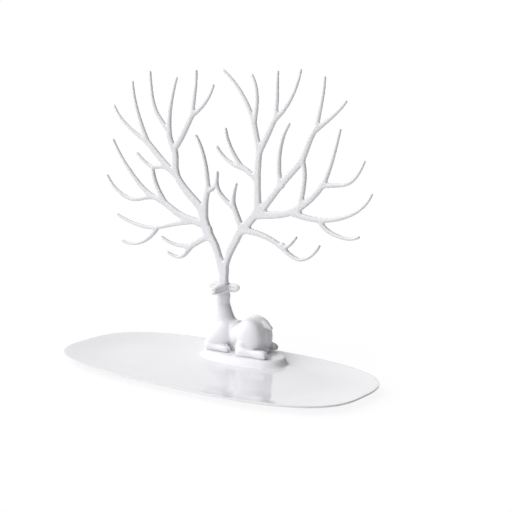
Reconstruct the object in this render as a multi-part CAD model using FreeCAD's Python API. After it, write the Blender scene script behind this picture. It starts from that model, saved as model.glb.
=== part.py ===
import FreeCAD, Part
import math
import os

os.makedirs("parts", exist_ok=True)

# Jewelry tree: an oval tray, a lying fawn on a low rise at its back, and a flat tree on the fawn's head.
# Millimetres. The origin is the middle of the tray, on the surface it stands on.
# +X is the fawn's tail end, -Y the front and +Z up.

# Tray
tray_length = 254.0
tray_width = 119.0
tray_roundness = 2.95
tray_wall = 2.2
rim_wall = 1.4
rim_edge = 1.2
dish_depth = 3.0
end_flank = 39.0
side_flank = 24.5
floor_back_shift = 5.0
floor_roundness = 2.7
dish_curve = 1.7

# Rise that the fawn lies on
rise_x = 3.5
rise_back_gap = 24.5
rise_length = 67.0
rise_width = 32.0
rise_height = 5.0
rise_roundness = 2.4
rise_flank = 5.2
rise_back_flank = 1.5
hollow_flank = 4.5
hollow_back_flank = 1.0

# Foot pads
pad_diameter = 14.0
pad_thickness = 1.6
pad_proud = 1.0
pad_front_end_inset = 30.0
pad_front_side_inset = 14.0
pad_rear_end_inset = 26.0
pad_rear_side_inset = 15.0

# Fawn's body, two shells that meet on the parting plane
fawn_back_shift = 6.5
neck_x = -21.8
neck_radius = 5.8
neck_top = 39.5
rump_height = 26.9
saddle_height = 20.6
body_half_width = 12.0
shell_wall = 2.0
near_leg_spread = 14.5
far_leg_spread = 10.5
far_hind_shift = -8.6
leg_half_width = 2.7
thigh_half_length = 11.2
thigh_half_width = 7.5
thigh_half_height = 14.0
thigh_height = 12.5
thigh_gap = 0.4
seat_x = 2.0
seat_half_length = 18.0
seat_half_width = 8.6
seat_height = 4.0
pocket_shift = 3.0

# Pegs under the body, split between the shells, and pins across the parting plane
peg_diameter = 6.0
peg_length = 4.5
peg_clearance = 0.3
peg_front_x = -8.0
peg_rear_x = 12.0
socket_wall = 2.0
pin_diameter = 2.4
pin_length = 3.0
pin_boss_wall = 1.6
pin_clearance = 0.1
key_diameter = 1.6
key_length = 2.0
key_offset = 4.0

# Head, turned to the front
skull_rise = 5.5
crown_sink = 0.9
crown_clearance = 0.5
skull_half_width = 5.6
skull_half_height = 4.9
muzzle_length = 13.8
ear_reach = 14.9
ear_half_height = 3.4
ear_rise = 1.0
ear_tilt = 8.0
ear_half_thickness = 1.7

# Tree
trunk_offset = 0.9
trunk_width = 7.0
trunk_thickness = 4.4
tip_thickness = 1.2
tip_width = 1.3
tree_span = 246.5
tree_height = 160.5
shoulder_width = 0.5
tang_width = 5.2
tang_length = 27.0
tang_clearance = 0.15

# Places that follow from these sizes
V = FreeCAD.Vector
base_z = pad_proud
floor_z = base_z + tray_wall
rim_z = floor_z + dish_depth
rise_z = floor_z + rise_height
floor_length = tray_length - 2 * end_flank
floor_width = tray_width - 2 * side_flank
rise_y = tray_width / 2 - rise_back_gap
parting_y = rise_y + fawn_back_shift
trunk_x = neck_x + trunk_offset
skull_height = neck_top + skull_rise
crown_height = skull_height + skull_half_height - crown_sink


def smooth_ring(points):
    curve = Part.BSplineCurve()
    curve.interpolate(points, PeriodicFlag=True)
    return Part.Wire(curve.toShape())


def power(value, exponent):
    return math.copysign(abs(value) ** exponent, value)


def oval(cx, cy, z, half_x, half_y, roundness):
    # A superellipse on a level plane
    points = []
    for step in range(40):
        angle = 2 * math.pi * step / 40
        x = half_x * power(math.cos(angle), 2 / roundness)
        y = half_y * power(math.sin(angle), 2 / roundness)
        points.append(V(cx + x, cy + y, z))
    return smooth_ring(points)


def body_point(x, y, z, tilt, up, side):
    # A point of a cross-section of the fawn: tilt 0 faces along -X, tilt 90 faces up
    lean = math.radians(tilt)
    return V(x + up * math.sin(lean), parting_y + y + side, rise_z + z + up * math.cos(lean))


def body_ring(x, y, z, tilt, half_height, half_width, roundness=2.0, seam=1):
    # The ring starts on the far side, or with seam -1 on the near side
    points = []
    for step in range(16):
        angle = 2 * math.pi * step / 16
        up = half_height * power(math.sin(angle), 2 / roundness)
        side = seam * half_width * power(math.cos(angle), 2 / roundness)
        points.append(body_point(x, y, z, tilt, up, side))
    return smooth_ring(points)


def face_ring(y, z, half_width, half_height):
    # A cross-section of the head, which faces along -Y
    points = []
    for step in range(16):
        angle = 2 * math.pi * step / 16
        side = half_width * math.cos(angle)
        up = half_height * math.sin(angle)
        points.append(V(neck_x + side, parting_y + y, rise_z + z + up))
    return smooth_ring(points)


def loft(wires):
    return Part.makeLoft(wires, True, False, False, 3)


def ellipsoid(center, radii, turn, seam_side=1):
    # Turned about Y, with its seam on the +X or the -X side
    ball = Part.makeSphere(1.0)
    if seam_side < 0:
        ball.rotate(V(0, 0, 0), V(0, 0, 1), 180)
    stretch = FreeCAD.Matrix()
    stretch.scale(*radii)
    ball = ball.transformGeometry(stretch)
    ball.rotate(V(0, 0, 0), V(0, 1, 0), turn)
    ball.translate(center)
    return ball


def peg(x, radius, top, bottom):
    return Part.makeCylinder(radius, top - bottom, V(x, parting_y, bottom))


# Tray

def dish_rings(low, high, rim_inset):
    # Rings from the flat floor out to the rim, rising faster towards the rim
    rings = []
    for share in (0.0, 0.3, 0.65, 1.0):
        half_x = floor_length / 2 + share * (tray_length / 2 - rim_inset - floor_length / 2)
        half_y = floor_width / 2 + share * (tray_width / 2 - rim_inset - floor_width / 2)
        roundness = floor_roundness + share * (tray_roundness - floor_roundness)
        z = low + (high - low) * share ** dish_curve
        rings.append(oval(0, floor_back_shift * (1 - share), z, half_x, half_y, roundness))
    return rings


# Share of the flank and level of each ring of the rise, and of the hollow under it
rise_profile = ((1.0, -0.04), (0.72, 0.1), (0.45, 0.42), (0.2, 0.8), (0.0, 0.95), (-0.35, 1.0))
hollow_profile = ((1.0, -0.25), (0.75, 0.25), (0.35, 0.75), (0.0, 0.95), (-0.6, 1.0))


def rise_rings(profile, flank, back_flank, inset, drop):
    # Rings from below the floor up the rounded shoulder to the flat top
    rings = []
    for share, level in profile:
        front = flank * share
        back = back_flank * share
        half_x = rise_length / 2 + flank * share - inset
        half_y = (rise_width + front + back) / 2 - inset
        z = floor_z + rise_height * level - drop
        rings.append(oval(rise_x, rise_y + (back - front) / 2, z, half_x, half_y, rise_roundness))
    return rings


def pad_places():
    # Set in from the ends and sides of the flat floor
    places = {}
    front_x = floor_length / 2 - pad_front_end_inset
    front_y = floor_back_shift - floor_width / 2 + pad_front_side_inset
    rear_x = floor_length / 2 - pad_rear_end_inset
    rear_y = floor_back_shift + floor_width / 2 - pad_rear_side_inset
    for side, sign in (("left", -1), ("right", 1)):
        places["foot_front_" + side] = V(sign * front_x, front_y, 0)
        places["foot_rear_" + side] = V(sign * rear_x, rear_y, 0)
    return places


def make_tray():
    below = dish_rings(base_z, rim_z - rim_edge, 0)
    wall_top = oval(0, 0, rim_z, tray_length / 2, tray_width / 2, tray_roundness)
    outer = loft(below).fuse(loft([below[-1], wall_top]))
    tray = outer.cut(loft(dish_rings(floor_z, rim_z, rim_wall)))
    tray = tray.fuse(loft(rise_rings(rise_profile, rise_flank, rise_back_flank, 0, 0)))
    above_corner = V(-tray_length / 2, -tray_width / 2, rise_z)
    tray = tray.cut(Part.makeBox(tray_length, tray_width, rise_height, above_corner))
    hollow = rise_rings(hollow_profile, hollow_flank, hollow_back_flank, tray_wall, tray_wall)
    tray = tray.cut(loft(hollow))
    socket_radius = peg_diameter / 2 + peg_clearance
    socket_bottom = rise_z - tray_wall - peg_length
    for x in (peg_front_x, peg_rear_x):
        tray = tray.fuse(peg(x, socket_radius + socket_wall, rise_z - tray_wall / 2, socket_bottom))
        tray = tray.cut(peg(x, socket_radius, rise_z + tray_wall, socket_bottom - tray_wall))
    for place in pad_places().values():
        tray = tray.cut(Part.makeCylinder(pad_diameter / 2, pad_thickness, place))
    return tray.removeSplitter()


def make_pad(place):
    pad = Part.makeCylinder(pad_diameter / 2, pad_thickness, place)
    lower_edge = [edge for edge in pad.Edges if abs(edge.BoundBox.ZMax - place.z) < 0.01]
    return pad.makeFillet(pad_proud / 3, lower_edge)


# Fawn's body

def torso(seam):
    # Sections from the rump forward along the back and up the neck
    saddle = saddle_height / 2
    rump = rump_height / 2
    width = body_half_width
    neck_foot = saddle + 13.4
    neck_middle = neck_foot + 0.462 * (neck_top - neck_foot)
    sections = [
        (19.8, rump - 2.4, 0, 2.5, 3.0),
        (18.4, rump - 1.4, 0, rump - 5.0, width - 4.5),
        (14.4, rump, 0, rump - 1.2, width - 1.2),
        (8.2, rump + 0.3, 0, rump - 0.3, width),
        (1.5, saddle + 2.2, 0, saddle + 0.9, width - 0.4),
        (-5.0, saddle + 0.4, 0, saddle - 0.4, width - 1.0),
        (-11.5, saddle + 1.6, 30, saddle + 0.6, width - 1.6),
        (neck_x + 4.3, saddle + 6.2, 60, saddle - 0.7, width - 3.0),
        (neck_x + 1.0, neck_foot, 80, neck_radius + 1.6, neck_radius + 1.3),
        (neck_x, neck_middle, 90, neck_radius + 0.2, neck_radius + 0.2),
        (neck_x, neck_top, 90, neck_radius, neck_radius),
    ]
    return loft([body_ring(x, 0, z, tilt, high, wide, 2, seam) for x, z, tilt, high, wide in sections])


def tail(seam):
    sections = [
        (9.8, rump_height - 3.1, 20, 1.5, 2.1),
        (15.2, rump_height - 3.5, 30, 1.9, 2.7),
        (20.0, rump_height - 5.7, 40, 1.7, 2.6),
        (23.5, rump_height - 8.0, 45, 1.2, 1.8),
    ]
    return loft([body_ring(x, 0, z, tilt, high, wide, 2, seam) for x, z, tilt, high, wide in sections])


def half_of(solid, direction):
    # The part of a solid on one side of the parting plane
    box = solid.BoundBox
    y = parting_y if direction > 0 else box.YMin - 1
    deep = box.YLength + 2
    if direction < 0:
        deep = parting_y - y
    corner = V(box.XMin - 1, y, box.ZMin - 1)
    return solid.common(Part.makeBox(box.XLength + 2, deep, box.ZLength + 2, corner))


def flat_below(solid):
    # Cut flat where it lies on the rise
    box = solid.BoundBox
    depth = rise_z - box.ZMin + 1
    corner = V(box.XMin - 1, box.YMin - 1, rise_z - depth)
    return solid.cut(Part.makeBox(box.XLength + 2, box.YLength + 2, depth, corner))


def legs(side, spread, hind_shift):
    # side -1 is the near side, +1 the far side
    y = side * spread
    w = leg_half_width
    hind_y = y + side
    fore_bar = loft([
        body_ring(-28.0, y, 2.4, 0, 1.4, w - 1.2, 2.6),
        body_ring(-26.8, y, 2.5, 0, 2.5, w, 2.6),
        body_ring(-18.0, y, 2.2, 0, 2.3, w, 2.8),
        body_ring(-7.5, y, 2.3, 0, 2.3, w, 2.8),
        body_ring(-5.5, y, 1.9, 0, 1.8, w - 0.5, 2.6),
    ])
    fore_arm = loft([
        body_ring(-27.2, y, 2.6, -40, 2.2, w - 0.4),
        body_ring(-24.2, y * 0.95, 4.8, -42, 4.4, w + 0.4),
        body_ring(-18.8, y * 0.8, 8.8, -44, 7.4, w + 1.4),
        body_ring(-13.4, y * 0.6, 13.8, -45, 7.8, w + 1.8),
        body_ring(-10.0, y * 0.4, 18.0, -45, 3.0, w),
    ])
    hind_bar = loft([
        body_ring(2.0 + hind_shift, hind_y, 3.2, 0, 1.8, w - 1.2, 2.6),
        body_ring(3.2 + hind_shift, hind_y, 3.0, 0, 3.0, w, 2.6),
        body_ring(16.0 + hind_shift, hind_y, 2.6, 0, 2.7, w, 3.0),
        body_ring(26.5 + hind_shift, hind_y, 2.9, 0, 3.0, w + 0.2, 3.0),
        body_ring(29.3 + hind_shift, hind_y, 2.6, 0, 2.2, w - 0.5, 2.6),
    ])
    thigh_y = parting_y + side * (thigh_half_width + thigh_gap)
    thigh_place = V(9.3 + hind_shift * 0.45, thigh_y, rise_z + thigh_height)
    thigh = ellipsoid(thigh_place, (thigh_half_length, thigh_half_width, thigh_half_height), -14)
    knee_place = V(5.5 + hind_shift * 0.6, parting_y + y * 0.93, rise_z + 6.0)
    knee = ellipsoid(knee_place, (5.0, 3.6, 5.6), 30)
    return [flat_below(limb) for limb in (fore_bar, fore_arm, hind_bar, thigh, knee)]


def tang_box(clearance):
    wide = tang_width + 2 * clearance
    thick = trunk_thickness - 2 * shoulder_width + 2 * clearance
    bottom = rise_z + crown_height - tang_length - clearance
    corner = V(trunk_x - wide / 2, parting_y - thick / 2, bottom)
    return Part.makeBox(wide, thick, tang_length + clearance, corner)


def pin_places():
    front = V(peg_front_x, parting_y, rise_z + saddle_height / 2)
    rear = V(peg_rear_x, parting_y, rise_z + rump_height / 2)
    return [front, rear]


def neck_key(side, clearance):
    place = V(neck_x, parting_y + side * key_offset, rise_z + neck_top - key_length)
    return Part.makeCylinder(key_diameter / 2 + clearance, 2 * key_length + clearance, place)


def half_peg(direction, x):
    place = V(x, parting_y, rise_z - peg_length)
    post = Part.makeCylinder(peg_diameter / 2, peg_length + shell_wall, place, V(0, 0, 1), 180)
    if direction < 0:
        post.rotate(place, V(0, 0, 1), 180)
    return post


def make_seat():
    # Flat underside of the body
    low = oval(seat_x, parting_y, rise_z, seat_half_length, seat_half_width, 2)
    high = oval(seat_x, parting_y, rise_z + seat_height, seat_half_length + 1, seat_half_width + 1, 2)
    return loft([low, high])


def pockets(direction):
    # Hollows that open at the parting plane
    outward = V(0, direction, 0)
    places = pin_places()
    front_radius = saddle_height / 2 - shell_wall - 1
    rear_radius = rump_height / 2 - shell_wall - 1
    depth = body_half_width - shell_wall - 1
    front = Part.makeCone(front_radius, front_radius / 2, depth, places[0] + V(pocket_shift, 0, 0), outward)
    rear = Part.makeCone(rear_radius, rear_radius / 2, depth, places[1] - V(pocket_shift, 0, 0), outward)
    return [front, rear]


def make_shell(direction, spread, hind_shift):
    # direction -1 is the near half, +1 the far half
    outward = V(0, direction, 0)
    shell = half_of(torso(-direction), direction)
    pieces = [half_of(make_seat(), direction), half_of(tail(-direction), direction)]
    pieces += legs(direction, spread, hind_shift)
    pieces += [half_peg(direction, peg_front_x), half_peg(direction, peg_rear_x)]
    for piece in pieces:
        shell = shell.fuse(piece)
    for pocket in pockets(direction):
        shell = shell.cut(pocket)
    reach = body_half_width - shell_wall - 1
    for place in pin_places():
        shell = shell.fuse(Part.makeCylinder(pin_diameter / 2 + pin_boss_wall, reach, place, outward))
        if direction < 0:
            pin_root = place + outward * pin_length
            shell = shell.fuse(Part.makeCylinder(pin_diameter / 2, 2 * pin_length, pin_root, -outward))
        else:
            hole_radius = pin_diameter / 2 + pin_clearance
            shell = shell.cut(Part.makeCylinder(hole_radius, pin_length + pin_clearance, place, outward))
    shell = shell.cut(tang_box(tang_clearance))
    return shell.fuse(neck_key(direction, 0)).removeSplitter()


# Fawn's head

def make_ear(side):
    half_reach = ear_reach * 0.42
    center = V(neck_x + side * (ear_reach - half_reach), parting_y + 1.5, rise_z + skull_height + ear_rise)
    ear = ellipsoid(center, (half_reach, ear_half_thickness, ear_half_height), -side * ear_tilt, -side)
    dish_center = center + V(side * 0.8, -ear_half_thickness * 1.9, 0)
    dish_radii = (half_reach * 0.72, ear_half_thickness * 1.3, ear_half_height * 0.7)
    return ear.cut(ellipsoid(dish_center, dish_radii, -side * ear_tilt, -side))


def make_head():
    high = skull_half_height
    wide = skull_half_width
    reach = muzzle_length
    head = loft([
        face_ring(7.2, skull_height - 0.2, 2.0, 1.8),
        face_ring(5.8, skull_height, wide - 1.2, high - 1.0),
        face_ring(1.5, skull_height + 0.2, wide, high),
        face_ring(-3.0, skull_height, wide - 0.5, high - 0.2),
        face_ring(-0.47 * reach, skull_height - 0.2, wide - 1.7, high - 1.1),
        face_ring(-0.77 * reach, skull_height - 0.5, wide - 2.7, high - 2.0),
        face_ring(-0.93 * reach, skull_height - 0.6, wide - 3.1, high - 2.5),
        face_ring(-reach, skull_height - 0.6, wide - 4.2, high - 3.5),
    ])
    collar_foot = V(neck_x, parting_y, rise_z + neck_top)
    collar = Part.makeCone(neck_radius - 0.1, skull_half_width - 1.6, skull_height - neck_top, collar_foot)
    head = head.fuse([collar, make_ear(-1), make_ear(1)])
    wide = trunk_width + 2 * crown_clearance
    thick = trunk_thickness + 2 * crown_clearance
    pocket_corner = V(trunk_x - wide / 2, parting_y - thick / 2, rise_z + crown_height)
    pocket = Part.makeBox(wide, thick, skull_half_height, pocket_corner)
    keyways = [neck_key(-1, pin_clearance), neck_key(1, pin_clearance)]
    head = head.cut([pocket, tang_box(tang_clearance)] + keyways)
    return head.removeSplitter()


# Tree

# Each limb: width at its root, width at its end, then points across and up from the trunk's foot.
# The points are drawn for a tree drawn_span wide and drawn_height tall.
drawn_span = 246.5
drawn_foot = 1.6
limb_swell = 1.16
drawn_height = 161.5
tip = tip_width / limb_swell
limbs = [
    # trunk and beams
    (trunk_width / limb_swell, 6.0, [(drawn_foot, 0), (1.2, 8), (1.0, 16.5)]),
    (5.8, 5.4, [(-0.5, 8), (-3.5, 19), (-7.5, 29), (-13.5, 39), (-17, 48.5), (-19, 53.5)]),
    (5.4, 5.0, [(1, 8.5), (3, 18.5), (8, 28.5), (13.5, 37), (19.5, 43.5)]),
    # left side, low branches
    (4.2, 3.4, [(-10.5, 35), (-19, 32.5), (-27, 28), (-33.5, 24)]),
    (2.8, tip, [(-30, 26), (-41.5, 25.5), (-51.5, 27), (-60.5, 31)]),
    (3.0, tip, [(-30, 26), (-34.5, 21), (-40.5, 16.5), (-47, 16.5), (-54.5, 19)]),
    (4.6, 3.6, [(-14.5, 42), (-24, 45.5), (-40, 49.5), (-52.5, 56), (-64, 61.5)]),
    (3.6, tip, [(-26, 46), (-35.5, 44.5), (-50, 41.5), (-69, 37.5), (-88, 39), (-108, 45.5)]),
    (2.6, tip, [(-64, 38.5), (-71, 31), (-80.5, 25), (-90.5, 22.5), (-103, 24)]),
    (3.0, 1.8, [(-54, 56.5), (-61.5, 66), (-66.5, 76), (-68.5, 86)]),
    (3.2, tip, [(-62.5, 61), (-75, 66), (-89, 78), (-101, 92), (-110.5, 107)]),
    (3.0, tip, [(-62.5, 61), (-75.5, 61.5), (-89.5, 59), (-104, 63.5), (-118, 77.5)]),
    # left side, high branches
    (5.2, 4.0, [(-17, 48), (-21, 57), (-29, 64.5), (-39.5, 74.5), (-44.5, 82.5), (-45, 93), (-46.5, 102)]),
    (4.0, 3.4, [(-43, 80), (-52, 86.5), (-62, 95), (-74.5, 107)]),
    (2.9, tip, [(-73.5, 106), (-80, 120.5), (-85.5, 137), (-88, 153.5)]),
    (2.8, tip, [(-72, 104.5), (-85, 112), (-99, 122), (-108.5, 134.5)]),
    (3.0, tip, [(-50.5, 84.5), (-59.5, 87), (-68.5, 86.5), (-78, 91), (-85, 97)]),
    (3.6, 3.0, [(-46.5, 101), (-49.5, 107), (-51.5, 117)]),
    (2.8, tip, [(-51, 114), (-50, 129), (-47, 142.5), (-42.5, 156)]),
    (2.7, tip, [(-51, 114), (-57.5, 121.5), (-64.5, 131.5), (-68, 144), (-69.5, 161)]),
    (3.6, 3.0, [(-46.5, 101), (-41.5, 106.5), (-35, 116), (-27, 129)]),
    (2.7, tip, [(-28, 127), (-26, 139), (-24, 151), (-23.5, 161.5)]),
    (2.7, tip, [(-28, 127.5), (-18.5, 134), (-12, 141), (-7, 150.5)]),
    # middle
    (4.4, 3.2, [(-16.5, 48), (-16, 59.5), (-14.5, 67.5), (-12.5, 72.5)]),
    (2.8, tip, [(-13, 70), (-14, 82.5), (-17.5, 98.5), (-24.5, 112.5)]),
    (2.6, tip, [(-13.5, 70.5), (-7, 74), (-4.5, 79.5), (-4, 85.5)]),
    (3.8, 3.0, [(19, 43), (14, 53.5), (10.5, 62)]),
    (2.6, tip, [(10.8, 60), (11.5, 69), (14, 77.5)]),
    (2.6, 1.8, [(12, 58), (3, 65), (-3, 71.5), (-4.5, 79)]),
    # right side, low branches
    (4.0, 2.6, [(19, 42.5), (29.5, 42), (40.5, 39.5), (52, 34.7)]),
    (2.6, tip, [(51, 35.2), (61, 28.6), (70.5, 25.3), (79.5, 28.6), (87, 37)]),
    (2.4, tip, [(54, 33.5), (62, 35.5), (65, 38.5), (67.5, 41.5)]),
    (5.4, 5.0, [(18.5, 42), (27, 51), (33.5, 57.5)]),
    (4.4, 4.0, [(32.5, 55), (49.5, 56.5), (61, 59), (68, 62)]),
    (3.6, tip, [(63, 59), (75, 56.5), (87, 55.5), (101.5, 57.5), (114, 62), (122.5, 68), (128.5, 76.5)]),
    (2.6, tip, [(86, 56.5), (92, 49.5), (101, 45.5), (110, 44), (119, 46)]),
    (3.8, 3.0, [(64, 59.5), (73, 65), (82, 72.5), (90, 81.5)]),
    (2.7, tip, [(88.5, 79), (94.5, 92), (99, 105.5), (103, 120)]),
    (2.7, tip, [(87, 79.5), (99.5, 81), (111, 83.5), (118, 90.5), (122.5, 99)]),
    (2.8, 1.9, [(70, 62), (73, 77), (74, 88.5), (71.5, 99)]),
    # right side, high branches
    (4.6, 3.0, [(32.5, 55), (44, 67.5), (54.5, 79.5), (64, 89), (71.5, 97.5), (76.5, 108), (84, 121)]),
    (2.8, tip, [(53.5, 77), (52, 91), (54, 108), (61, 123)]),
    (2.7, tip, [(83.2, 119), (86.5, 133.5), (89, 145.5), (90, 156)]),
    (2.7, tip, [(82, 118), (90, 124), (102, 133.5), (114, 152)]),
    (4.6, 3.8, [(33, 55), (33, 71), (33, 85), (34, 98), (35, 104)]),
    (3.2, 2.8, [(33, 80.5), (25.5, 86.5), (16.5, 91)]),
    (2.6, tip, [(20, 89), (12.5, 98), (6.5, 109), (4, 118.5)]),
    (2.5, tip, [(20, 89.5), (10.5, 92), (2.5, 97), (-4.5, 105)]),
    (3.4, 2.9, [(34.8, 102), (32, 113.5), (29.5, 125)]),
    (2.7, tip, [(30, 122.5), (32, 133), (32.5, 144.5), (28, 158)]),
    (2.7, tip, [(30, 122.5), (23, 138), (14, 150.5), (2, 161.5)]),
    (3.4, 2.9, [(34.8, 102), (42, 114.5), (49, 127.5)]),
    (2.6, tip, [(48.3, 125.5), (50, 138), (50.5, 149.5), (51, 160)]),
    (2.7, tip, [(48, 125.5), (58, 135), (65.5, 147), (70.5, 161)]),
]
# Webs where limbs part: across, up, radius
webs = [
    (-14, 40, 4.2), (-27, 28, 2.2), (-62, 61, 2.8), (-45, 83, 3.2), (-73, 105, 2.3), (-47, 102, 2.3),
    (-51, 115, 1.9), (-27.5, 128, 1.9), (-13, 71, 2.2), (20, 43.5, 3.9), (11, 60.5, 1.9), (33.5, 56.5, 4.3),
    (67.5, 61, 3.6), (88.5, 80, 2.1), (54, 78.5, 2.6), (83, 119.5, 2.1), (72, 98, 2.4), (34.8, 102.5, 2.4),
    (29.8, 124, 1.9), (48.5, 126.5, 1.9), (19, 89.8, 1.9), (55, 34, 2.2),
]
stretch_x = tree_span / drawn_span
stretch_z = tree_height / drawn_height
foot_z = rise_z + crown_height


def tree_point(across, up):
    x = trunk_x + (across - drawn_foot) * stretch_x
    return V(x, parting_y - trunk_thickness / 2, foot_z + up * stretch_z)


def limb_face(root, end, points):
    # A tapering strip along a smooth line, with a round end
    line = Part.BSplineCurve()
    line.interpolate([tree_point(across, up) for across, up in points])
    first, last = line.FirstParameter, line.LastParameter
    count = 2 * len(points) - 1
    left, right = [], []
    for step in range(count):
        share = step / (count - 1)
        at = first + (last - first) * share
        along = line.tangent(at)[0]
        half = limb_swell * (end + (root - end) * (1 - share) ** 1.2) / 2
        sideways = V(-along.z, 0, along.x) * half
        left.append(line.value(at) + sideways)
        right.append(line.value(at) - sideways)
    nose = line.value(last) + line.tangent(last)[0] * (limb_swell * end / 2)
    left_side = Part.BSplineCurve()
    left_side.interpolate(left)
    right_side = Part.BSplineCurve()
    right_side.interpolate(right[::-1])
    end_arc = Part.Arc(left[-1], nose, right[-1])
    edges = [left_side, end_arc, right_side, Part.LineSegment(right[0], left[0])]
    return Part.Face(Part.Wire([edge.toShape() for edge in edges]))


def web_face(across, up, radius):
    return Part.Face(Part.Wire(Part.Circle(tree_point(across, up), V(0, 1, 0), radius).toShape()))


def flat_face(*corners):
    return Part.Face(Part.makePolygon(list(corners) + [corners[0]]))


def taper_envelope():
    # Thickness falls from the trunk's foot outwards, in flat facets
    reach = math.hypot(tree_span / 2, tree_height) * 0.92
    rim = []
    for degrees in (-30, 20, 65, 115, 160, 210):
        angle = math.radians(degrees)
        rim.append((trunk_x + reach * math.cos(angle), foot_z + reach * math.sin(angle)))
    sheets = {}
    for side in (-1, 1):
        middle = V(trunk_x, parting_y + side * trunk_thickness / 2, foot_z - 1)
        sheets[side] = (middle, [V(x, parting_y + side * tip_thickness / 2, z) for x, z in rim])
    faces = []
    front_middle, front = sheets[-1]
    back_middle, back = sheets[1]
    for i in range(len(rim) - 1):
        faces.append(flat_face(front_middle, front[i], front[i + 1]))
        faces.append(flat_face(back_middle, back[i], back[i + 1]))
        faces.append(flat_face(front[i], front[i + 1], back[i + 1], back[i]))
    for i in (0, -1):
        faces.append(flat_face(front_middle, front[i], back[i], back_middle))
    return Part.Solid(Part.Shell(faces))


def make_tree():
    strips = [limb_face(*limb) for limb in limbs] + [web_face(*web) for web in webs]
    outline = strips[0].fuse(strips[1:]).removeSplitter()
    plate = outline.Faces[0].extrude(V(0, trunk_thickness, 0))
    tree = plate.common(taper_envelope())
    below_corner = V(trunk_x - trunk_width, parting_y - trunk_thickness, foot_z - trunk_width)
    tree = tree.cut(Part.makeBox(2 * trunk_width, 2 * trunk_thickness, trunk_width, below_corner))
    return tree.fuse(tang_box(0)).removeSplitter()


nodes = {
    "tray": make_tray(),
    "deer_left_shell": make_shell(-1, near_leg_spread, 0),
    "deer_right_shell": make_shell(1, far_leg_spread, far_hind_shift),
    "deer_head": make_head(),
    "antler_tree": make_tree(),
}
for name, place in pad_places().items():
    nodes[name] = make_pad(place)
for name, shape in nodes.items():
    shape.exportStep("parts/" + name + ".step")
    print(name, "solids", len(shape.Solids), "valid", shape.isValid(), "volume", round(shape.Volume, 1))
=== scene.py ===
from math import radians

import bmesh
import bpy
from mathutils import Matrix, Vector
from mathutils.geometry import intersect_point_line


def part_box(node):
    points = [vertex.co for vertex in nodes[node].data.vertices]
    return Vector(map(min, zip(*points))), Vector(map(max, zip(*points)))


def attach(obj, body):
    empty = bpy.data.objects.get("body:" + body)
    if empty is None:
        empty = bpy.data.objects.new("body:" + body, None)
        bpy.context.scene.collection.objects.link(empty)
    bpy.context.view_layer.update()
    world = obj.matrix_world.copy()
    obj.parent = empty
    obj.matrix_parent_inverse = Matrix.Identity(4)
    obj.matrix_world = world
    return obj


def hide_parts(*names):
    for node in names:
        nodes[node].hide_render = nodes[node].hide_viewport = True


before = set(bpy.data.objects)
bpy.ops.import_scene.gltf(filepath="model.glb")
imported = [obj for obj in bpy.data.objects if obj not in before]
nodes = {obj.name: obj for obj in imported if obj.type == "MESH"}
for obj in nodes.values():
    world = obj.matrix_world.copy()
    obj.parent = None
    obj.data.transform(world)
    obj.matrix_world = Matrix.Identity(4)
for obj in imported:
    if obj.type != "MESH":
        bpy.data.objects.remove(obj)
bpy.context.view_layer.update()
scene = bpy.context.scene
mm = 0.001
weldGap = 0.002 * mm  # joins the loose triangles of a node
cutGap = 0.001 * mm
print("frame loaded:", len(nodes), "nodes")


# mesh helpers

def nodeCopy(pieceName, *nodeNames):
    # a merged copy of one or more nodes, as a new object at the origin
    bm = bmesh.new()
    for nodeName in nodeNames:
        bm.from_mesh(nodes[nodeName].data)
    bmesh.ops.remove_doubles(bm, verts=bm.verts, dist=weldGap)
    return newPiece(pieceName, bm)


def newPiece(pieceName, bm):
    mesh = bpy.data.meshes.new(pieceName)
    bm.to_mesh(mesh)
    bm.free()
    piece = bpy.data.objects.new(pieceName, mesh)
    scene.collection.objects.link(piece)
    return piece


def voxelSkin(piece, voxel):
    # one closed skin round everything in the piece
    skin = piece.modifiers.new("skin", "REMESH")
    skin.mode = "VOXEL"
    skin.voxel_size = voxel
    applyModifiers(piece)


def applyModifiers(piece):
    bpy.context.view_layer.update()
    dg = bpy.context.evaluated_depsgraph_get()
    mesh = bpy.data.meshes.new_from_object(piece.evaluated_get(dg))
    mesh.name = piece.name
    piece.modifiers.clear()
    piece.data = mesh


def editMesh(piece, action, *values):
    bm = bmesh.new()
    bm.from_mesh(piece.data)
    action(bm, *values)
    bm.to_mesh(piece.data)
    bm.free()
    piece.data.update()


def relaxVerts(bm, verts, rounds, share):
    for _ in range(rounds):
        bmesh.ops.smooth_vert(
            bm, verts=verts, factor=share,
            use_axis_x=True, use_axis_y=True, use_axis_z=True,
        )


def relax(bm, rounds, share):
    relaxVerts(bm, bm.verts, rounds, share)


def relaxInside(bm, low, high, rounds, share):
    inside = [
        vert for vert in bm.verts
        if all(low[i] < vert.co[i] < high[i] for i in range(3))
    ]
    relaxVerts(bm, inside, rounds, share)


def swell(bm, distance):
    bm.normal_update()
    for vert in bm.verts:
        vert.co += vert.normal * distance


def gapTo(point, start, end):
    place, share = intersect_point_line(point, start, end)
    if share < 0:
        place = start
    if share > 1:
        place = end
    return (point - place).length


def gapToPath(point, path):
    return min(gapTo(point, start, end) for start, end in zip(path, path[1:]))


def keepOuter(bm):
    # drop what the skin left inside, such as the walls of a sealed hollow
    waiting = set(bm.verts)
    islands = []
    while waiting:
        stack = [waiting.pop()]
        island = list(stack)
        while stack:
            for edge in stack.pop().link_edges:
                for vert in edge.verts:
                    if vert in waiting:
                        waiting.discard(vert)
                        stack.append(vert)
                        island.append(vert)
        islands.append(island)
    islands.sort(key=len)
    for island in islands[:-1]:
        bmesh.ops.delete(bm, geom=island, context="VERTS")


def smoothFaces(piece):
    for polygon in piece.data.polygons:
        polygon.use_smooth = True


# materials

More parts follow.
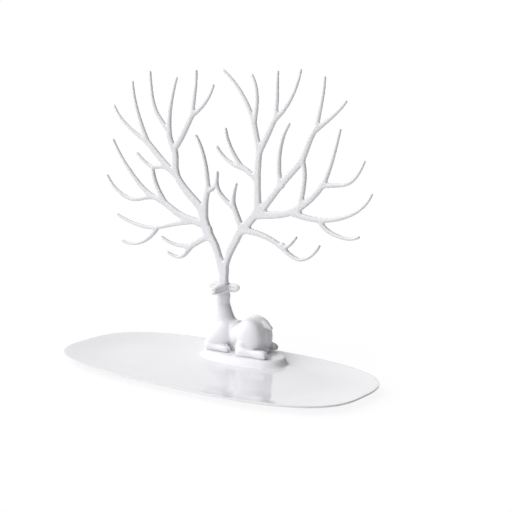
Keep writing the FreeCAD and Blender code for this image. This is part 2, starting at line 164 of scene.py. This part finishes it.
plasticGrain = {
    "flowDetail": 3, "shadeEnd": 0.35, "colourEnd": 0.65, "glossLow": 0.85, "glossHigh": 1.25,
    "peelDetail": 2, "peelHeight": 0.05 * mm,
}
trayLook = {
    "name": "trayGlossWhite", "colour": (0.82, 0.817, 0.845), "shade": (0.80, 0.797, 0.825),
    "roughness": 0.07, "ior": 1.5, "flowScale": 14, "peelScale": 900, "peelStrength": 0.03,
}
fawnLook = {
    "name": "fawnGlossWhite", "colour": (0.82, 0.817, 0.845), "shade": (0.80, 0.797, 0.825),
    "roughness": 0.16, "ior": 1.5, "flowScale": 40, "peelScale": 600, "peelStrength": 0.02,
}
# the tree's colours are set darker than the fawn's white plastic: painted shade for the duller tone
# of the thin branches
treeLook = {
    "name": "treeSatinPaintedShade", "colour": (0.76, 0.757, 0.783), "shade": (0.74, 0.737, 0.763),
    "roughness": 0.30, "ior": 1.48, "flowScale": 25, "peelScale": 600, "peelStrength": 0.02,
}
padLook = {
    "name": "padSilicone", "colour": (0.72, 0.72, 0.71), "shade": (0.68, 0.68, 0.67),
    "roughness": 0.55, "ior": 1.42, "flowScale": 120, "peelScale": 2500, "peelStrength": 0.25,
}


def nodeTree(material):
    material.use_nodes = True
    tree = material.node_tree
    return tree, tree.nodes["Principled BSDF"]


def mouldedPlastic(look):
    # plastic or silicone with a faint flow tone and a fine orange peel
    material = bpy.data.materials.new(look["name"])
    tree, shader = nodeTree(material)
    coords = tree.nodes.new("ShaderNodeTexCoord")
    flow = tree.nodes.new("ShaderNodeTexNoise")
    flow.inputs["Scale"].default_value = look["flowScale"]
    flow.inputs["Detail"].default_value = plasticGrain["flowDetail"]
    tone = tree.nodes.new("ShaderNodeValToRGB")
    tone.color_ramp.elements[0].position = plasticGrain["shadeEnd"]
    tone.color_ramp.elements[0].color = (*look["shade"], 1)
    tone.color_ramp.elements[1].position = plasticGrain["colourEnd"]
    tone.color_ramp.elements[1].color = (*look["colour"], 1)
    gloss = tree.nodes.new("ShaderNodeMapRange")
    gloss.inputs["To Min"].default_value = look["roughness"] * plasticGrain["glossLow"]
    gloss.inputs["To Max"].default_value = look["roughness"] * plasticGrain["glossHigh"]
    peel = tree.nodes.new("ShaderNodeTexNoise")
    peel.inputs["Scale"].default_value = look["peelScale"]
    peel.inputs["Detail"].default_value = plasticGrain["peelDetail"]
    bump = tree.nodes.new("ShaderNodeBump")
    bump.inputs["Strength"].default_value = look["peelStrength"]
    bump.inputs["Distance"].default_value = plasticGrain["peelHeight"]
    link = tree.links.new
    link(coords.outputs["Object"], flow.inputs["Vector"])
    link(coords.outputs["Object"], peel.inputs["Vector"])
    link(flow.outputs["Fac"], tone.inputs["Fac"])
    link(tone.outputs["Color"], shader.inputs["Base Color"])
    link(flow.outputs["Fac"], gloss.inputs["Value"])
    link(gloss.outputs["Result"], shader.inputs["Roughness"])
    link(peel.outputs["Fac"], bump.inputs["Height"])
    link(bump.outputs["Normal"], shader.inputs["Normal"])
    shader.inputs["IOR"].default_value = look["ior"]
    return material


def dress(piece, material):
    piece.data.materials.clear()
    piece.data.materials.append(material)


trayPlastic = mouldedPlastic(trayLook)
fawnPlastic = mouldedPlastic(fawnLook)
treePlastic = mouldedPlastic(treeLook)
padSilicone = mouldedPlastic(padLook)
print("materials made")


# tree

treeSkin = {
    "voxel": 0.5 * mm, "crotch": 0.6 * mm, "outRounds": 2, "backRounds": 1, "relaxRounds": 5,
    "relaxShare": 0.5, "regain": 0.16 * mm,
    "stepLow": (-31, 30, 60), "stepHigh": (-23, 50, 69), "stepRounds": 16,
    "fork": (-21, 41.5, 78), "tipStart": 35 * mm, "tipEnd": 110 * mm, "tipExtra": 0.32 * mm,
}
# lines on the tree's face in x and z, how far they move, how far that reaches, and its limits, in mm
treeShifts = {
    "forkDown": {
        "line": ((-23.3, 77.7), (-23.2, 78.7)),
        "move": (0.8, -3.4), "reach": 7, "low": (-40, 55), "high": (0, 100),
    },
    "leftEdge": {
        "line": ((-33.5, 84.5), (-32.2, 81.9), (-28.8, 74.2), (-27.1, 65.7), (-26.4, 63.5)),
        "move": (1.4, 0), "reach": 8, "low": (-45, 63.2), "high": (-22.8, 105),
    },
    "forkRight": {
        "line": ((-22.4, 79.0), (-21.5, 81.2), (-18.0, 87.0), (-14.0, 92.3)),
        "move": (1.3, 0), "reach": 9, "low": (-22.8, 60), "high": (5, 105),
    },
    "rightEdge": {
        "line": ((-16.4, 68.0), (-15.0, 75.0), (-11.0, 84.0), (-6.5, 91.0)),
        "move": (0.8, 0), "reach": 7, "low": (-22.8, 60), "high": (5, 105),
    },
}


def shiftLine(bm, shift):
    # slide part of the flat tree within its own plane
    path = [Vector((x, 0, z)) * mm for x, z in shift["line"]]
    moveX, moveZ = shift["move"]
    way = Vector((moveX, 0, moveZ)) * mm
    lowX, lowZ = shift["low"]
    highX, highZ = shift["high"]
    for vert in bm.verts:
        if lowX * mm < vert.co.x < highX * mm and lowZ * mm < vert.co.z < highZ * mm:
            flat = Vector((vert.co.x, 0, vert.co.z))
            gap = gapToPath(flat, path) / (shift["reach"] * mm)
            if gap < 1:
                vert.co += way * (1 - gap ** 2) ** 2


def swellTwigs(bm):
    # give back what the relaxing took, and more towards the twigs
    bm.normal_update()
    fork = Vector(treeSkin["fork"]) * mm
    start, end = treeSkin["tipStart"], treeSkin["tipEnd"]
    for vert in bm.verts:
        share = ((vert.co - fork).length - start) / (end - start)
        share = min(max(share, 0), 1)
        vert.co += vert.normal * (treeSkin["regain"] + treeSkin["tipExtra"] * share)


def makeTree():
    piece = nodeCopy("treeSkin", "antler_tree")
    share = treeSkin["relaxShare"]
    voxelSkin(piece, treeSkin["voxel"])
    editMesh(piece, relax, treeSkin["outRounds"], share)
    editMesh(piece, swell, treeSkin["crotch"])  # out and back in fills the crotches
    voxelSkin(piece, treeSkin["voxel"])
    editMesh(piece, relax, treeSkin["backRounds"], share)
    editMesh(piece, swell, -treeSkin["crotch"])
    for shift in treeShifts.values():
        editMesh(piece, shiftLine, shift)
    voxelSkin(piece, treeSkin["voxel"])
    editMesh(piece, keepOuter)
    editMesh(piece, relax, treeSkin["relaxRounds"], share)
    low, high = Vector(treeSkin["stepLow"]) * mm, Vector(treeSkin["stepHigh"]) * mm
    editMesh(piece, relaxInside, low, high, treeSkin["stepRounds"], share)
    editMesh(piece, swellTwigs)
    smoothFaces(piece)
    dress(piece, treePlastic)
    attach(piece, "tree")
    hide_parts("antler_tree")
    print("tree skin:", len(piece.data.polygons), "faces")


makeTree()


# fawn

fawnSkin = {
    "voxel": 0.4 * mm, "headRounds": 4, "bodyRounds": 8, "haunchRounds": 36, "share": 0.5,
    "regain": 0.1 * mm, "haunchLow": (18, -17, -28), "haunchHigh": (38, 17, -8),
    "bodyLow": (-1, -1, -1), "bodyReach": 1, "domeSegments": 48, "domeRings": 24,
}
# from the neck's top on the parting plane, in mm; they round the rump into the haunches
fawnDomes = {
    "rumpNear": {"place": (29.9, -3.5, -26.0), "radii": (11.9, 12.2, 13.3)},
    "rumpFar": {"place": (29.9, 3.5, -26.0), "radii": (11.9, 9.8, 13.3)},
    "hipNear": {"place": (33.9, -5.0, -28.3), "radii": (8.8, 9.3, 13.0)},
    "hipFar": {"place": (33.5, 4.0, -28.3), "radii": (8.6, 7.5, 12.6)},
}
# creases and clefts, measured the same way
fawnLines = {
    "cheekRight": {
        "path": (
            (0.9, -13.7, 5.9), (2.4, -11.2, 4.7), (3.0, -8.3, 4.6),
            (4.6, -3.5, 5.5), (6.3, -0.1, 6.9),
        ),
        "width": 1.2, "depth": 0.85,
    },
    "cheekLeft": {
        "path": (
            (-0.9, -13.7, 5.9), (-2.4, -11.2, 4.7), (-3.0, -8.3, 4.6),
            (-4.6, -3.5, 5.5), (-6.3, -0.1, 6.9),
        ),
        "width": 1.2, "depth": 0.85,
    },
    "tailNear": {
        "path": ((34.3, -3.0, -15.6), (37.0, -3.1, -16.6), (41.8, -2.9, -18.9), (44.8, -2.2, -20.9)),
        "width": 1.1, "depth": 0.7,
    },
    "tailFar": {
        "path": ((34.3, 3.0, -15.6), (37.0, 3.1, -16.6), (41.8, 2.9, -18.9), (44.8, 2.2, -20.9)),
        "width": 1.1, "depth": 0.7,
    },
    "hoofHindNear": {
        "path": ((46.5, -15.5, -33.6), (51.1, -15.5, -35.0), (51.1, -15.5, -39.0)),
        "width": 0.9, "depth": 0.7,
    },
    "farHoofTop": {
        "path": ((39.0, 11.5, -33.4), (43.2, 11.5, -34.6)),
        "width": 4.0, "depth": 2.0,
    },
    "hoofForeNear": {
        "path": ((14.0, -14.5, -34.9), (16.3, -14.5, -36.2), (16.3, -14.5, -39.0)),
        "width": 0.9, "depth": 0.6,
    },
    "hoofHindFar": {
        "path": ((37.9, 11.5, -33.6), (42.5, 11.5, -35.0), (42.5, 11.5, -39.0)),
        "width": 0.9, "depth": 0.7,
    },
    "hoofForeFar": {
        "path": ((14.0, 10.5, -34.9), (16.3, 10.5, -36.2), (16.3, 10.5, -39.0)),
        "width": 0.9, "depth": 0.6,
    },
}


def addDome(bm, place, radii):
    bmesh.ops.create_uvsphere(
        bm, u_segments=fawnSkin["domeSegments"], v_segments=fawnSkin["domeRings"], radius=1,
        matrix=Matrix.LocRotScale(place, None, radii),
    )


def pressLine(bm, path, width, depth):
    # a soft groove along a line of points
    bm.normal_update()
    for vert in bm.verts:
        gap = gapToPath(vert.co, path)
        if gap < width:
            vert.co -= vert.normal * depth * (1 - (gap / width) ** 2) ** 2


def keepBeyond(bm, place, facing):
    # cut at a plane, keep the side that it faces and close the cut
    cut = bmesh.ops.bisect_plane(
        bm, geom=bm.verts[:] + bm.edges[:] + bm.faces[:], dist=cutGap,
        plane_co=place, plane_no=facing, clear_inner=True,
    )
    rim = [item for item in cut["geom_cut"] if isinstance(item, bmesh.types.BMEdge)]
    for edge in rim:
        edge.smooth = False
    bmesh.ops.triangle_fill(bm, use_beauty=True, edges=rim, normal=-Vector(facing))


def fawnPart(whole, pieceName, nodeName, place, *facings):
    piece = bpy.data.objects.new(pieceName, whole.data.copy())
    scene.collection.objects.link(piece)
    for facing in facings:
        editMesh(piece, keepBeyond, place, facing)
    dress(piece, fawnPlastic)
    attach(piece, "fawn")
    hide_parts(nodeName)
    print(pieceName, len(piece.data.polygons), "faces")


def makeFawn():
    # one skin over body and head, cut where the three mouldings meet
    headLow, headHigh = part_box("deer_head")
    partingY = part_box("deer_right_shell")[0].y
    neck = Vector(((headLow.x + headHigh.x) / 2, partingY, headLow.z))
    whole = nodeCopy("fawnWhole", "deer_left_shell", "deer_right_shell", "deer_head")
    for dome in fawnDomes.values():
        editMesh(whole, addDome, neck + Vector(dome["place"]) * mm, Vector(dome["radii"]) * mm)
    voxelSkin(whole, fawnSkin["voxel"])
    editMesh(whole, keepOuter)
    share = fawnSkin["share"]
    editMesh(whole, relax, fawnSkin["headRounds"], share)
    bodyHigh = (fawnSkin["bodyReach"], fawnSkin["bodyReach"], neck.z)  # all below the head
    editMesh(whole, relaxInside, fawnSkin["bodyLow"], bodyHigh, fawnSkin["bodyRounds"], share)
    low = neck + Vector(fawnSkin["haunchLow"]) * mm
    high = neck + Vector(fawnSkin["haunchHigh"]) * mm
    editMesh(whole, relaxInside, low, high, fawnSkin["haunchRounds"], share)
    editMesh(whole, swell, fawnSkin["regain"])
    for line in fawnLines.values():
        path = [neck + Vector(point) * mm for point in line["path"]]
        editMesh(whole, pressLine, path, line["width"] * mm, line["depth"] * mm)
    smoothFaces(whole)
    fawnPart(whole, "fawnHead", "deer_head", neck, (0, 0, 1))
    fawnPart(whole, "fawnNearHalf", "deer_left_shell", neck, (0, 0, -1), (0, -1, 0))
    fawnPart(whole, "fawnFarHalf", "deer_right_shell", neck, (0, 0, -1), (0, 1, 0))
    bpy.data.objects.remove(whole)


makeFawn()


# tray and pads

trayEdge = {"radius": 0.45 * mm, "segments": 3, "angle": radians(50)}


def finishTray():
    piece = nodes["tray"]
    weld = piece.modifiers.new("weld", "WELD")
    weld.merge_threshold = weldGap
    edge = piece.modifiers.new("roundEdges", "BEVEL")
    edge.width = trayEdge["radius"]
    edge.segments = trayEdge["segments"]
    edge.limit_method = "ANGLE"
    edge.angle_limit = trayEdge["angle"]
    edge.harden_normals = True
    dress(piece, trayPlastic)
    for nodeName in nodes:
        if nodeName.startswith("foot_"):
            dress(nodes[nodeName], padSilicone)
    print("tray and pads dressed")


finishTray()


# stage, light and camera

stageLook = {
    "floorReach": 3, "floorColour": (0.7, 0.7, 0.7), "floorRoughness": 0.9,
    "cameraShare": 0.85, "glow": 1.06,
    "softFall": {"brightEdge": -0.8, "darkEdge": 0.75, "bright": 1.24, "dark": 0.04},
    "mirrorFall": {"brightEdge": 0.15, "darkEdge": 0.65, "bright": 1.0, "dark": 0.0},
    "rightWay": (0.8146, 0.58, 0.0),
}
cameraView = {
    "place": (0.434614, -0.555868, 0.20543), "turn": (radians(90 - 9.61), 0, radians(35.455)),
    "sensor": 36.0, "lens": 36.0 * 1000 / 512, "nearest": 0.01, "farthest": 20,
}
lights = {
    "softKey": {"from": (-0.60, -0.40, 0.70), "spread": radians(80), "strength": 1.55},
}


def makeFloor():
    bm = bmesh.new()
    bmesh.ops.create_grid(bm, x_segments=1, y_segments=1, size=stageLook["floorReach"])
    floor = newPiece("stageFloor", bm)
    material = bpy.data.materials.new("paleFloor")
    tree, shader = nodeTree(material)
    shader.inputs["Base Color"].default_value = (*stageLook["floorColour"], 1)
    shader.inputs["Roughness"].default_value = stageLook["floorRoughness"]
    path = tree.nodes.new("ShaderNodeLightPath")
    seen = tree.nodes.new("ShaderNodeMath")
    seen.operation = "MAXIMUM"
    share = tree.nodes.new("ShaderNodeMath")
    share.operation = "MULTIPLY"
    share.inputs[1].default_value = stageLook["cameraShare"]
    glow = tree.nodes.new("ShaderNodeEmission")
    glow.inputs["Strength"].default_value = stageLook["glow"]
    mix = tree.nodes.new("ShaderNodeMixShader")
    output = tree.nodes["Material Output"]
    link = tree.links.new
    link(path.outputs["Is Camera Ray"], seen.inputs[0])
    link(path.outputs["Is Glossy Ray"], seen.inputs[1])
    link(seen.outputs[0], share.inputs[0])
    link(share.outputs[0], mix.inputs["Fac"])
    link(shader.outputs["BSDF"], mix.inputs[1])
    link(glow.outputs["Emission"], mix.inputs[2])
    link(mix.outputs["Shader"], output.inputs["Surface"])
    dress(floor, material)


def sideFall(tree, side, setup):
    # from bright on the left to dark on the right
    fall = tree.nodes.new("ShaderNodeMapRange")
    fall.interpolation_type = "SMOOTHSTEP"
    fall.inputs["From Min"].default_value = setup["brightEdge"]
    fall.inputs["From Max"].default_value = setup["darkEdge"]
    fall.inputs["To Min"].default_value = setup["bright"]
    fall.inputs["To Max"].default_value = setup["dark"]
    tree.links.new(side.outputs["Value"], fall.inputs["Value"])
    return fall


def makeWorld():
    # white to the camera, dimmer on the right for the light that falls on the part
    world = bpy.data.worlds.new("studioWorld")
    scene.world = world
    world.use_nodes = True
    tree = world.node_tree
    back = tree.nodes["Background"]
    back.inputs["Color"].default_value = (1, 1, 1, 1)
    coords = tree.nodes.new("ShaderNodeTexCoord")
    side = tree.nodes.new("ShaderNodeVectorMath")
    side.operation = "DOT_PRODUCT"
    side.inputs[1].default_value = stageLook["rightWay"]
    soft = sideFall(tree, side, stageLook["softFall"])
    mirror = sideFall(tree, side, stageLook["mirrorFall"])
    path = tree.nodes.new("ShaderNodeLightPath")
    level = tree.nodes.new("ShaderNodeMapRange")
    seen = tree.nodes.new("ShaderNodeMath")
    seen.operation = "MAXIMUM"
    link = tree.links.new
    link(coords.outputs["Generated"], side.inputs[0])
    link(path.outputs["Is Glossy Ray"], level.inputs["Value"])
    link(soft.outputs["Result"], level.inputs["To Min"])
    link(mirror.outputs["Result"], level.inputs["To Max"])
    link(level.outputs["Result"], seen.inputs[0])
    link(path.outputs["Is Camera Ray"], seen.inputs[1])
    link(seen.outputs[0], back.inputs["Strength"])


def makeLights():
    for name, setup in lights.items():
        lamp = bpy.data.lights.new(name, "SUN")
        lamp.angle = setup["spread"]
        lamp.energy = setup["strength"]
        holder = bpy.data.objects.new(name, lamp)
        holder.rotation_euler = (-Vector(setup["from"])).to_track_quat("-Z", "Y").to_euler()
        scene.collection.objects.link(holder)


def makeCamera():
    data = bpy.data.cameras.new("photoCamera")
    data.sensor_width = cameraView["sensor"]
    data.lens = cameraView["lens"]
    data.clip_start = cameraView["nearest"]
    data.clip_end = cameraView["farthest"]
    holder = bpy.data.objects.new("photoCamera", data)
    holder.location = cameraView["place"]
    holder.rotation_euler = cameraView["turn"]
    scene.collection.objects.link(holder)
    scene.camera = holder


makeFloor()
makeWorld()
makeLights()
makeCamera()
scene.view_settings.view_transform = "Standard"
print("stage, light and camera set")
